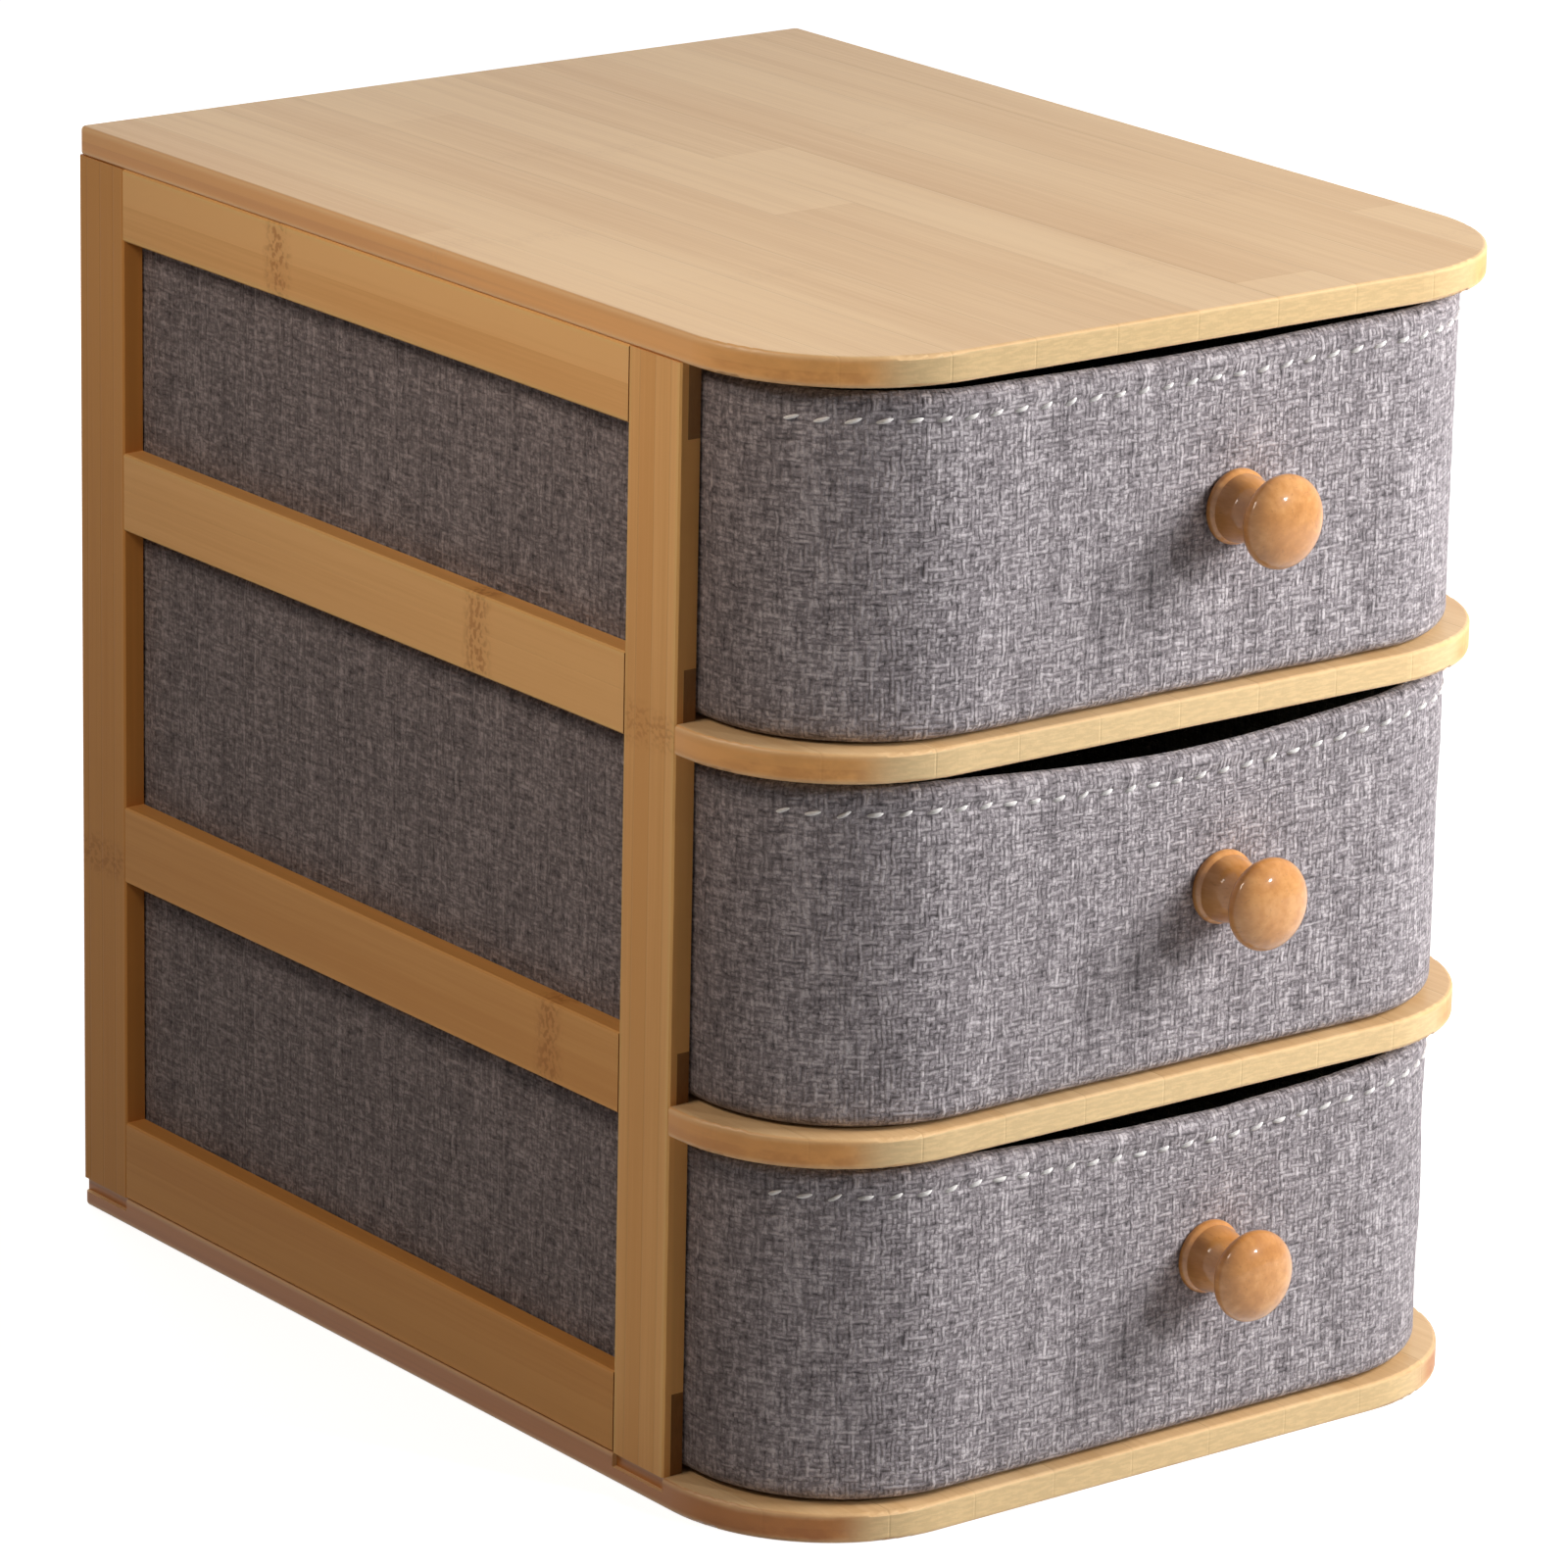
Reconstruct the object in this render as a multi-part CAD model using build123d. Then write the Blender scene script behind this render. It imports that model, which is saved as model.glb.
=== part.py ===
from build123d import *
import os

# A small desk unit. Four bamboo boards sit on two half-lapped side frames, and three
# cloth-covered drawers slide in the bays between the boards. Millimetres, +Z up, the
# front towards -Y. The origin is the middle of the bottom board's underside.

# ---- carcass ----
carcass_width = 197.0       # over the boards and the side frames
carcass_depth = 263.0       # boards, front edge to back edge
carcass_height = 250.0
board_thick = 6.5
corner_radius = 39.0        # the boards' large front corners
rear_radius = 1.5           # their small rear corners
board_ease = 0.9            # rounding along the boards' rims

frame_thick = 5.0           # side frames, and so how far the shelves are notched
post_width = 17.5
post_setback = 42.5         # boards' front edge to the front posts
top_rail_height = 16.0
shelf_rail_height = 17.5
bottom_rail_height = 18.0
lap_thick = 3.0             # the layer of each rail that runs behind the posts
frame_ease = 0.4            # broken corners of the slats
foot_notch_depth = 1.2      # shadow notch in the bottom board under each post
foot_notch_height = 3.2
back_thick = 3.0

dowel_radius = 1.25
dowel_length = 10.0
dowel_in_rail = 3.0         # a dowel's bite across a rail's thickness
dowel_in_board = 4.0        # a dowel's bite up into the top or bottom board
dowel_inset = 22.0          # dowel axis from the post beside it
dowel_clearance = 0.05
dowel_end_room = 0.3

# ---- drawers ----
side_gap = 0.6              # each side, to the frame
floor_gap = 0.3
top_gap = 2.0
rear_gap = 1.5
front_inset = 2.2           # boards' front edge to the drawer front
drawer_radius = 38.0
drawer_rear_radius = 4.5
cloth_thick = 0.8
stiffener_thick = 2.2
lining_thick = 0.6
hem_depth = 9.0
edge_room = 2.0             # fold of the hem to the boards' and lining's upper edge
foot_room = 1.6             # cloth of the floor to the wall boards' lower edge

# ---- knobs ----
knob_offset = 12.5          # the knobs sit a little right of the middle
knob_height = 38.0          # knob axis above the drawer's underside
knob_length = 19.6
knob_base_radius = 8.0
knob_rim = 1.6
knob_neck_radius = 4.4
knob_neck_out = 9.6         # seat to the narrowest point
knob_head_radius = 9.9
knob_head_out = 15.0        # seat to the widest point of the head
screw_radius = 2.0
screw_bite = 12.0           # length of the screw inside the knob
screw_head_radius = 3.9
screw_head_height = 2.3
screw_clearance = 0.2       # in the drawer front
thread_clearance = 0.05     # in the knob
screw_end_room = 0.5
washer_radius = 6.0
washer_thick = 1.0

# ---- places that follow from the sizes ----
bay_height = (carcass_height - 4 * board_thick) / 3
board_z = [level * (board_thick + bay_height) for level in range(4)]
front_y = -carcass_depth / 2
back_y = carcass_depth / 2
post_front_y = front_y + post_setback
post_back_y = post_front_y + post_width
rear_post_y = back_y - post_width
frame_inner_x = carcass_width / 2 - frame_thick
frame_bottom_z = board_z[0] + board_thick
frame_top_z = board_z[3]

drawer_width = 2 * (frame_inner_x - side_gap)
drawer_front_y = front_y + front_inset
drawer_depth = back_y - back_thick - rear_gap - drawer_front_y
drawer_height = bay_height - floor_gap - top_gap
wall_thick = cloth_thick + stiffener_thick + lining_thick
board_top = drawer_height - cloth_thick - edge_room


def block(low, high):
    """Box between two opposite corners."""
    size = [b - a for a, b in zip(low, high)]
    middle = [(a + b) / 2 for a, b in zip(low, high)]
    return Pos(*middle) * Box(*size)


def outline(width, depth, front_corner, rear_corner):
    """Plan with straight back and sides and two large front corners."""
    plan = Rectangle(width, depth)
    plan = fillet(plan.vertices().group_by(Axis.Y)[0], front_corner)
    return fillet(plan.vertices().group_by(Axis.Y)[-1], rear_corner)


# ---- boards ----
def whole_board(z):
    """Full board with its rims eased all round."""
    plan = outline(carcass_width, carcass_depth, corner_radius, rear_radius)
    board = Pos(0, 0, z) * extrude(plan, board_thick)
    by_height = board.faces().sort_by(Axis.Z)
    return fillet(by_height[0].edges() + by_height[-1].edges(), board_ease)


def shelf(z):
    """Board notched for the side frames and stopped at the back panel."""
    board = whole_board(z)
    low_z, high_z = z - 1, z + board_thick + 1
    board -= block((-carcass_width, back_y - back_thick, low_z), (carcass_width, back_y + 1, high_z))
    for side in (-1, 1):
        near, far = sorted((side * frame_inner_x, side * carcass_width))
        board -= block((near, post_front_y, low_z), (far, back_y + 1, high_z))
    return board


def bottom_board():
    """Whole board with a shallow shadow notch in its edge under each post."""
    board = whole_board(board_z[0])
    edge_x = carcass_width / 2
    for side in (-1, 1):
        near, far = sorted((side * (edge_x - foot_notch_depth), side * (edge_x + 1)))
        for y in (post_front_y, rear_post_y):
            board -= block((near, y, board_thick - foot_notch_height), (far, y + post_width, board_thick + 1))
    return board


# ---- side frames, drawn on the right and mirrored for the left ----
rails = {
    "bottom_rail": (frame_bottom_z, bottom_rail_height),
    "lower_rail": (board_z[1], shelf_rail_height),
    "upper_rail": (board_z[2], shelf_rail_height),
    "top_rail": (frame_top_z - top_rail_height, top_rail_height),
}


def post(y):
    """Upright slat, halved on its inner side where each rail passes behind it."""
    slat = block((frame_inner_x, y, frame_bottom_z), (carcass_width / 2, y + post_width, frame_top_z))
    outer = slat.faces().sort_by(Axis.X)[-1]
    slat = chamfer(outer.edges().filter_by(Axis.Z), frame_ease)
    for z, height in rails.values():
        slat -= block((frame_inner_x - 1, y - 1, z), (frame_inner_x + lap_thick, y + post_width + 1, z + height))
    return slat


def rail(z, height):
    """Level slat: full thickness between the posts, a thin lap behind each of them."""
    lap = block((frame_inner_x, post_front_y, z), (frame_inner_x + lap_thick, back_y, z + height))
    face = block((frame_inner_x, post_back_y, z), (carcass_width / 2, rear_post_y, z + height))
    outer = face.faces().sort_by(Axis.X)[-1]
    return lap + chamfer(outer.edges().filter_by(Axis.Y), frame_ease)


def dowel(x, y, z, upright, spare_radius=0.0, spare_length=0.0):
    """Round pin centred on a point, or the hole for it when the spares are given."""
    pin = Cylinder(dowel_radius + spare_radius, dowel_length + 2 * spare_length)
    return Pos(x, y, z) * (pin if upright else Rot(0, 90, 0) * pin)


def dowels(spare_radius=0.0, spare_length=0.0):
    """The right frame's pins: along X into the shelves, upright into the outer boards."""
    pins = []
    for y in (post_back_y + dowel_inset, rear_post_y - dowel_inset):
        shelf_x = frame_inner_x + dowel_in_rail - dowel_length / 2
        for z in board_z[1:3]:
            pins.append(dowel(shelf_x, y, z + board_thick / 2, False, spare_radius, spare_length))
        rail_x = frame_inner_x + frame_thick / 2
        low_z = frame_bottom_z - dowel_in_board + dowel_length / 2
        high_z = frame_top_z + dowel_in_board - dowel_length / 2
        for z in (low_z, high_z):
            pins.append(dowel(rail_x, y, z, True, spare_radius, spare_length))
    return pins


def drill(piece):
    """Sink the right frame's dowel holes into a piece."""
    for hole in dowels(dowel_clearance, dowel_end_room):
        piece -= hole
    return piece


def drill_both(board):
    """Sink both frames' dowel holes into a board."""
    for hole in dowels(dowel_clearance, dowel_end_room):
        board -= hole
        board -= mirror(hole, Plane.YZ)
    return board


# ---- drawers, drawn with the underside at z = 0 ----
def drawer_plan(inset):
    """The drawer's plan, drawn in by a wall thickness."""
    size = 2 * inset
    plan = outline(drawer_width - size, drawer_depth - size, drawer_radius - inset, drawer_rear_radius - inset)
    return Pos(0, drawer_front_y + drawer_depth / 2) * plan


def drawer_layer(outer_inset, inner_inset, low, high):
    """Upright wall between two insets of the plan."""
    wall = extrude(drawer_plan(outer_inset), high - low) - extrude(drawer_plan(inner_inset), high - low)
    return Pos(0, 0, low) * wall


def drawer_floor(inset, low, thick):
    return Pos(0, 0, low) * extrude(drawer_plan(inset), thick)


def screw_hole(piece):
    """Pass the knob's screw through the drawer front."""
    bore = Cylinder(screw_radius + screw_clearance, 4 * wall_thick)
    return piece - Pos(knob_offset, drawer_front_y, knob_height) * Rot(90, 0, 0) * bore


def cover():
    """Outer cloth: floor and walls up to the hem."""
    walls = drawer_layer(0, cloth_thick, 0, drawer_height - cloth_thick)
    return screw_hole(walls + drawer_floor(0, 0, cloth_thick))


def hem():
    """Cloth turned over the top edge and down inside the lining."""
    turn = drawer_layer(0, wall_thick + cloth_thick, drawer_height - cloth_thick, drawer_height)
    leg = drawer_layer(wall_thick, wall_thick + cloth_thick, drawer_height - hem_depth, drawer_height - cloth_thick)
    return turn + leg


def lining():
    """Inner cloth: floor and walls inside the stiffeners."""
    inset = cloth_thick + stiffener_thick
    low = inset
    walls = drawer_layer(inset, wall_thick, low, board_top)
    return screw_hole(walls + drawer_floor(inset, low, lining_thick))


def stiffeners():
    """Boards in the walls: a front and a back bent round their corners, two flat sides, a floor."""
    inset = cloth_thick + stiffener_thick
    ring = drawer_layer(cloth_thick, inset, cloth_thick + foot_room, board_top)
    curve_end = drawer_front_y + drawer_radius
    back_start = drawer_front_y + drawer_depth - drawer_rear_radius
    reach, tall = carcass_width, carcass_height
    return {
        "front_stiffener": screw_hole(ring & block((-reach, front_y - 1, -1), (reach, curve_end, tall))),
        "left_stiffener": ring & block((-reach, curve_end, -1), (0, back_start, tall)),
        "right_stiffener": ring & block((0, curve_end, -1), (reach, back_start, tall)),
        "rear_stiffener": ring & block((-reach, back_start, -1), (reach, back_y, tall)),
        "floor_stiffener": drawer_floor(inset, cloth_thick, stiffener_thick),
    }


# ---- knob and its fixing, drawn with the seat at y = 0 and the head towards -Y ----
def knob():
    """Turned knob: flat seat and rim, hollow neck, flattened round head."""
    rim = (knob_base_radius, -knob_rim)
    neck = (knob_neck_radius, -knob_neck_out)
    head = (knob_head_radius, -knob_head_out)
    nose = (0, -knob_length)
    flare = ((knob_base_radius + knob_neck_radius) / 2, -(knob_rim + knob_neck_out) / 2)
    shoulder = (0.78 * knob_head_radius, -(0.47 * knob_neck_out + 0.53 * knob_head_out))
    profile = [
        Line((0, 0), (knob_base_radius, 0)),
        Line((knob_base_radius, 0), rim),
        Spline(rim, flare, neck, tangents=[(-1, -0.35), (0, -1)]),
        Spline(neck, shoulder, head, tangents=[(0, -1), (0, -1)]),
        Spline(head, nose, tangents=[(0, -1), (-1, 0)]),
        Line(nose, (0, 0)),
    ]
    body = revolve(make_face(profile), Axis.Y)
    return body - blind_bore(screw_radius + thread_clearance, screw_bite + screw_end_room)


def blind_bore(radius, depth):
    """Round bore through the seat and out to a depth inside the knob."""
    return Pos(0, -depth / 2 + 0.5, 0) * Rot(90, 0, 0) * Cylinder(radius, depth + 1)


def washer():
    ring = Cylinder(washer_radius, washer_thick) - Cylinder(screw_radius + screw_clearance, washer_thick)
    return Pos(0, wall_thick + washer_thick / 2, 0) * Rot(90, 0, 0) * ring


def screw():
    """Pan-head screw from inside the drawer, with a cross recess."""
    seat = wall_thick + washer_thick
    length = seat + screw_bite
    shank = Pos(0, seat - length / 2, 0) * Rot(90, 0, 0) * Cylinder(screw_radius, length)
    pan = Pos(0, seat + screw_head_height / 2, 0) * Rot(90, 0, 0) * Cylinder(screw_head_radius, screw_head_height)
    pan = fillet(pan.faces().sort_by(Axis.Y)[-1].edges(), 0.4 * screw_head_height)
    slot = (screw_head_radius, screw_head_height, 0.3 * screw_radius)
    for turn in (0, 90):
        pan -= Pos(0, seat + screw_head_height, 0) * Rot(0, turn, 0) * Box(*slot)
    return shank + pan


# ---- every piece by name ----
parts = {
    "top_board": drill_both(whole_board(board_z[3])),
    "upper_shelf": drill_both(shelf(board_z[2])),
    "lower_shelf": drill_both(shelf(board_z[1])),
    "bottom_board": drill_both(bottom_board()),
    "back_panel": block((-frame_inner_x, back_y - back_thick, frame_bottom_z), (frame_inner_x, back_y, frame_top_z)),
}

right_frame = {"front_post": post(post_front_y), "rear_post": post(rear_post_y)}
right_frame.update({name: drill(rail(*place)) for name, place in rails.items()})
right_frame["dowels"] = Compound(dowels())
for name, piece in right_frame.items():
    parts["right_" + name] = piece
    parts["left_" + name] = mirror(piece, Plane.YZ)

drawer_pieces = {"cover": cover(), "hem": hem(), "lining": lining(), **stiffeners()}
for name, piece in (("knob", knob()), ("knob_washer", washer()), ("knob_screw", screw())):
    drawer_pieces[name] = Pos(knob_offset, drawer_front_y, knob_height) * piece
for level, bay in enumerate(("bottom", "middle", "top")):
    lift = Pos(0, 0, board_z[level] + board_thick + floor_gap)
    for name, piece in drawer_pieces.items():
        parts[f"{bay}_drawer_{name}"] = lift * piece

os.makedirs("parts", exist_ok=True)
for name, shape in parts.items():
    export_step(shape, f"parts/{name}.step")
print(len(parts), "pieces; bay", round(bay_height, 2), "drawer", drawer_width, drawer_depth, round(drawer_height, 2))
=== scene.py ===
import math

import bpy
import numpy as np
from mathutils import Matrix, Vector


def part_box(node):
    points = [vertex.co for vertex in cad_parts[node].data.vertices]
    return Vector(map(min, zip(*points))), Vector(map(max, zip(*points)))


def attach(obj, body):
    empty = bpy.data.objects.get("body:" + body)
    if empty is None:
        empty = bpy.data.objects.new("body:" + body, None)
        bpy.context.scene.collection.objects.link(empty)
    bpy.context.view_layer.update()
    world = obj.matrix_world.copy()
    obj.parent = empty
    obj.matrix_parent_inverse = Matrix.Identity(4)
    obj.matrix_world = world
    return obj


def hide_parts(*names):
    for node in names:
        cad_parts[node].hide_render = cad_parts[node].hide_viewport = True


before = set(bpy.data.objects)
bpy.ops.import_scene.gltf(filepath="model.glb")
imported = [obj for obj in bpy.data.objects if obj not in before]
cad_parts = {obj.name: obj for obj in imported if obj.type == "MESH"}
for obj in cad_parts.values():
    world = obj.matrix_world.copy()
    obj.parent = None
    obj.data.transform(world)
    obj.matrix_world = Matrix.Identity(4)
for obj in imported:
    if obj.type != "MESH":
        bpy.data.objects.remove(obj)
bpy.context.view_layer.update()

MM = 0.001
LEVELS = ("bottom", "middle", "top")

# Drawer shape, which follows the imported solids.
FRONT_CORNER = 38.0 * MM
REAR_CORNER = 4.5 * MM
HEM_DEPTH = 9.0 * MM
HEM_THICK = 4.4 * MM
CLOTH_THICK = 0.7 * MM
FOOT_ROLL = 3.2 * MM
BOARD_THICK = 2.2 * MM
# The steps of a walk round a drawer: half the back, a rear corner, a side, a front corner, the front,
# and the same again the other way round.
WALK_STEPS = (36, 10, 96, 40, 56, 40, 96, 10, 36)
FLOOR_RINGS = 16
# How far the rim of each drawer's front hangs down, where it hangs lowest, and half its width.
RIM_DIP = {"bottom": 3.0 * MM, "middle": 4.0 * MM, "top": 1.2 * MM}
RIM_MIDDLE = {"bottom": 12 * MM, "middle": 4 * MM, "top": -6 * MM}
RIM_HALF = 66 * MM
RIM_POWER = 1.3
DIP_DEEP = 22 * MM  # how far below the rim the cloth hangs with it, and over what height it stops
DIP_FADE = 14 * MM
FRONT_FADE = 0.6  # the share of a front corner over which the front's own forms die out

# The cover's rows: up the turned hem, over the rim, and down to the floor.
HEM_ROWS = 6
RIM_ROWS = 13
ABOVE_STITCH_ROWS = 3
STITCH_ROWS = 8
WALL_ROWS = 34
SOLE_ROWS = 9

# The lining lies inside the cover. Its inset and the radius of its foot are together less than the
# radius of a rear corner, so that its corners don't turn inside out.
LINING_THICK = 0.5 * MM
LINING_INSET = 3.7 * MM
LINING_ROLL = 0.7 * MM
LINING_TOP = 6.8 * MM  # below the rim
LINING_FLOOR = 3.7 * MM  # above the foot
LINING_ROWS = 26
LINING_SOLE_ROWS = 7

# Unevenness of glued cloth: the longest wave, the shortest, and how many waves.
BROAD_WAVES = (90 * MM, 28 * MM, 7)
SHORT_WAVES = (24 * MM, 11 * MM, 6)
RIM_WAVES = (50 * MM, 20 * MM, 4)
FOOT_WAVES = (70 * MM, 24 * MM, 5)
LINING_WAVES = (80 * MM, 26 * MM, 6)
# How high they are, in millimetres: on the whole cover, how much more on the front, and finer ones.
SLACK, FRONT_SLACK, FINE_SLACK = 0.16, 0.24, 0.07
LINING_SLACK = 0.25
# The pull of the stitches: how deep, and how much that changes between them, in millimetres; how high.
PULL, PULL_CHANGE, PULL_HIGH = 0.26, 0.10, 0.9 * MM
# The swell above the stitches: how far out, in millimetres; how far above them, and how high.
SWELL, SWELL_ABOVE, SWELL_HIGH = 0.22, 2.6 * MM, 1.5 * MM
# How much the rim wanders, and how much the foot is lifted and wanders, in millimetres; how high.
RIM_WANDER, FOOT_LIFT, FOOT_WANDER, FOOT_HIGH = 0.2, 0.25, 0.35, 4 * MM

STITCH_DROP = 5.6 * MM  # below the rim
STITCH_PITCH = 6.3 * MM
STITCH_LONG = 3.3 * MM
STITCH_RANGE = (0.88, 1.08)  # the shortest and the longest, as shares of that
STITCH_LEAN = (0.44, 0.12)  # in millimetres, with the spread from stitch to stitch
SEWN_CORNER = 0.62  # the share of a front corner that is sewn
THREAD_RADIUS = 0.48 * MM
THREAD_RISE, THREAD_SUNK = 0.50, 0.12  # in millimetres, of its middle line
THREAD_END = 0.35  # the share of its radius that a stitch has at its ends
THREAD_RINGS = 6
THREAD_SIDES = 6

# The knob's outline in millimetres, as radius and distance from the cloth: rounded foot, cone, neck
# and the back of the head. The face is a quarter of an ellipse from there to the tip.
KNOB_STEM = ((7.3, 0.0), (7.82, 0.22), (8.0, 0.85), (7.84, 1.5), (7.45, 1.95), (7.18, 2.25),
             (7.16, 2.75), (7.05, 3.6), (6.75, 5.0), (6.2, 6.6), (5.45, 8.2), (4.7, 9.5), (4.45, 10.2),
             (5.0, 10.8), (6.8, 11.6), (8.5, 12.6), (9.5, 13.7), (9.84, 14.5))
KNOB_STEPS = 5
KNOB_RADIUS = 9.9
FACE_START = 15.0
FACE_DEPTH = 4.6
FACE_POWER = 0.92  # of the cosine, which squares the ellipse's shoulder a little
FACE_ROWS = 25
KNOB_SIDES = 80

# The seeds of each drawer's cover, lining, stitching and knob.
SEEDS = {"bottom": (40, 90, 77, 5), "middle": (57, 103, 77, 6), "top": (74, 116, 74, 7)}


# ---------------------------------------------------------------- mesh tools

def new_piece(name, points, faces, weave=None):
    """A piece made of points (one row each) and faces (rows of point numbers).

    weave gives the cloth pattern's place, one pair for each corner of each face."""
    mesh = bpy.data.meshes.new(name)
    rows = [row for block in faces for row in np.asarray(block).tolist()]
    mesh.from_pydata(np.asarray(points).tolist(), [], rows)
    if weave is not None:
        layer = mesh.uv_layers.new(name="weave")
        layer.data.foreach_set("uv", np.asarray(weave, dtype=np.float32).ravel())
    mesh.shade_smooth()
    mesh.update()
    piece = bpy.data.objects.new(name, mesh)
    bpy.context.scene.collection.objects.link(piece)
    return piece


def net(rows, columns):
    """Quads of a grid of rows by columns, whose last column meets the first."""
    row = np.arange(rows - 1)[:, None] * columns
    column = np.arange(columns)[None, :]
    following = (column + 1) % columns
    quads = np.stack([row + column, row + following, row + columns + following, row + columns + column], -1)
    return quads.reshape(-1, 4)


def dress(thing, material):
    """Gives a piece, or every slot of a CAD node's object, one material."""
    slots = thing.material_slots
    if len(slots) == 0:
        thing.data.materials.append(material)
    for slot in slots:
        slot.material = material


def thicken(piece, thick):
    """Gives a skin its wall, on the side that its faces turn away from."""
    wall = piece.modifiers.new("wall", "SOLIDIFY")
    wall.thickness = thick
    wall.offset = -1
    return piece


def waves(across, up, seed, longest, shortest, count):
    """A smooth unevenness between about -1 and 1: the sum of count sine waves over (across, up), whose
    directions, lengths between shortest and longest, and starts come from the seed."""
    draw = np.random.default_rng(seed)
    total = np.zeros(np.broadcast(across, up).shape)
    for _ in range(count):
        way = draw.uniform(0, math.pi)
        length = draw.uniform(shortest, longest)
        start = draw.uniform(0, 2 * math.pi)
        total = total + np.sin((across * math.cos(way) + up * math.sin(way)) * 2 * math.pi / length + start)
    return total / math.sqrt(count * 2.0)


def through(keys, steps):
    """A smooth line through key points, steps points to each span. Between two keys it is the cubic
    whose slope at each key is half the way from the key before to the key after."""
    keys = np.asarray(keys, dtype=float)
    ends = np.concatenate([2 * keys[:1] - keys[1:2], keys, 2 * keys[-1:] - keys[-2:-1]])
    slope = (ends[2:] - ends[:-2]) / 2
    t = np.linspace(0, 1, steps, endpoint=False)[None, :, None]
    line = ((2 * t ** 3 - 3 * t ** 2 + 1) * keys[:-1, None] + (t ** 3 - 2 * t ** 2 + t) * slope[:-1, None]
            + (3 * t ** 2 - 2 * t ** 3) * keys[1:, None] + (t ** 3 - t ** 2) * slope[1:, None])
    return np.concatenate([line.reshape(-1, keys.shape[1]), keys[-1:]])


# ------------------------------------------------------------- drawer sheets

def drawer_walk(low, high):
    """The drawer's outline from above, walked from the middle of the back round by the left side,
    the front and the right side: an arc's centre, its radius and the outward angle each change
    along straight lines between the ends of the runs, so a point is centre + radius * outward.

    Returns the points and the outward directions, one row a step, the distance walked at each step,
    and the distance all round."""
    half, rear, front = (high[0] - low[0]) / 2, high[1], low[1]
    middle = (high[0] + low[0]) / 2
    small, big = REAR_CORNER, FRONT_CORNER
    turn = math.pi / 2
    flank = rear - small - front - big
    runs = [half - small, turn * small, flank, turn * big, 2 * (half - big),
            turn * big, flank, turn * small, half - small]
    knots = np.concatenate([[0.0], np.cumsum(runs)])
    walked = np.concatenate([np.linspace(knots[k], knots[k + 1], steps, endpoint=False)
                             for k, steps in enumerate(WALK_STEPS)])
    behind, ahead = half - small, half - big
    places = [0, -behind, -behind, -ahead, -ahead, ahead, ahead, behind, behind, 0]
    centre_x = np.interp(walked, knots, places) + middle
    centre_y = np.interp(walked, knots, [rear - small] * 3 + [front + big] * 4 + [rear - small] * 3)
    radius = np.interp(walked, knots, [small] * 3 + [big] * 4 + [small] * 3)
    angle = np.interp(walked, knots, [quarters * turn for quarters in (1, 1, 2, 2, 3, 3, 4, 4, 5, 5)])
    outward = np.stack([np.cos(angle), np.sin(angle)], axis=1)
    points = np.stack([centre_x, centre_y], axis=1) + radius[:, None] * outward
    return points, outward, walked, knots[-1]


def along_walk(walk, where, values):
    """Values that are known at each step of the walk, read at other distances along it."""
    walked, around = walk[2:]
    return np.interp(where, np.append(walked, around), np.append(values, values[0]))


def arc(out, up, radius, start, end, rows):
    """Part of a section: rows points on an arc about (out, up), from one angle to another."""
    bend = np.linspace(start, end, rows)
    return np.stack([out + radius * np.cos(bend), up + radius * np.sin(bend)], 1)


def upright(out, heights):
    """Part of a section: points straight above each other at the given heights."""
    return np.stack([np.full(len(heights), out), heights], 1)


def carried(section, walk):
    """A section at every step of the walk: grids of how far out and how high, one row for each of its
    points, and its heights as one column."""
    steps = len(walk[2])
    out, up = (np.repeat(section[:, k:k + 1], steps, 1) for k in (0, 1))
    return out, up, section[:, 1:]


def tub(name, walk, out, up, floor_height):
    """A skin carried round a walk: out and up are grids, one row for each line of the section and one
    column for each step of the walk, that give how far outwards and how high each point lies. Below
    the last row the floor closes in rings towards one point in the middle.

    The weave runs along the walk and down the section; on the floor it lies square to the drawer."""
    points, outward, walked, around = walk
    rows, columns = out.shape
    wall = np.empty((rows, columns, 3))
    wall[..., :2] = points[None] + out[..., None] * outward[None]
    wall[..., 2] = up
    centre = np.array([points[:, 0].mean(), points[:, 1].mean()])
    shares = 1 - np.arange(1, FLOOR_RINGS) / FLOOR_RINGS
    floor = np.empty((FLOOR_RINGS - 1, columns, 3))
    floor[..., :2] = centre + (wall[-1, :, :2] - centre)[None] * shares[:, None, None]
    floor[..., 2] = floor_height
    grid = np.concatenate([wall, floor])
    pole = np.array([[centre[0], centre[1], floor_height]])
    column = np.arange(columns)
    following = (column + 1) % columns
    last = (len(grid) - 1) * columns
    fan = np.stack([last + column, last + following, np.full(columns, len(grid) * columns)], axis=1)

    step = np.sqrt((np.diff(out.mean(1)) ** 2) + (np.diff(up.mean(1)) ** 2))
    weave = np.empty((len(grid), columns + 1, 2))
    weave[:rows, :, 0] = np.append(walked, around)[None]
    weave[:rows, :, 1] = np.concatenate([[0.0], np.cumsum(step)])[:, None]
    weave[rows:, :columns] = floor[..., :2]
    weave[rows:, columns] = floor[:, 0, :2]
    # The first ring of the floor begins at the wall's last row, but with the floor's own weave.
    above = weave[:-1].copy()
    above[rows - 1] = wall[-1, np.arange(columns + 1) % columns, :2]
    below = weave[1:]
    corners = np.stack([above[:, :-1], above[:, 1:], below[:, 1:], below[:, :-1]], axis=2)
    tips = np.stack([weave[-1, :-1], weave[-1, 1:], np.broadcast_to(centre, (columns, 2))], axis=1)
    return new_piece(name, np.concatenate([grid.reshape(-1, 3), pole]), [net(len(grid), columns), fan],
                     np.concatenate([corners.reshape(-1, 2), tips.reshape(-1, 2)]))


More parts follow.
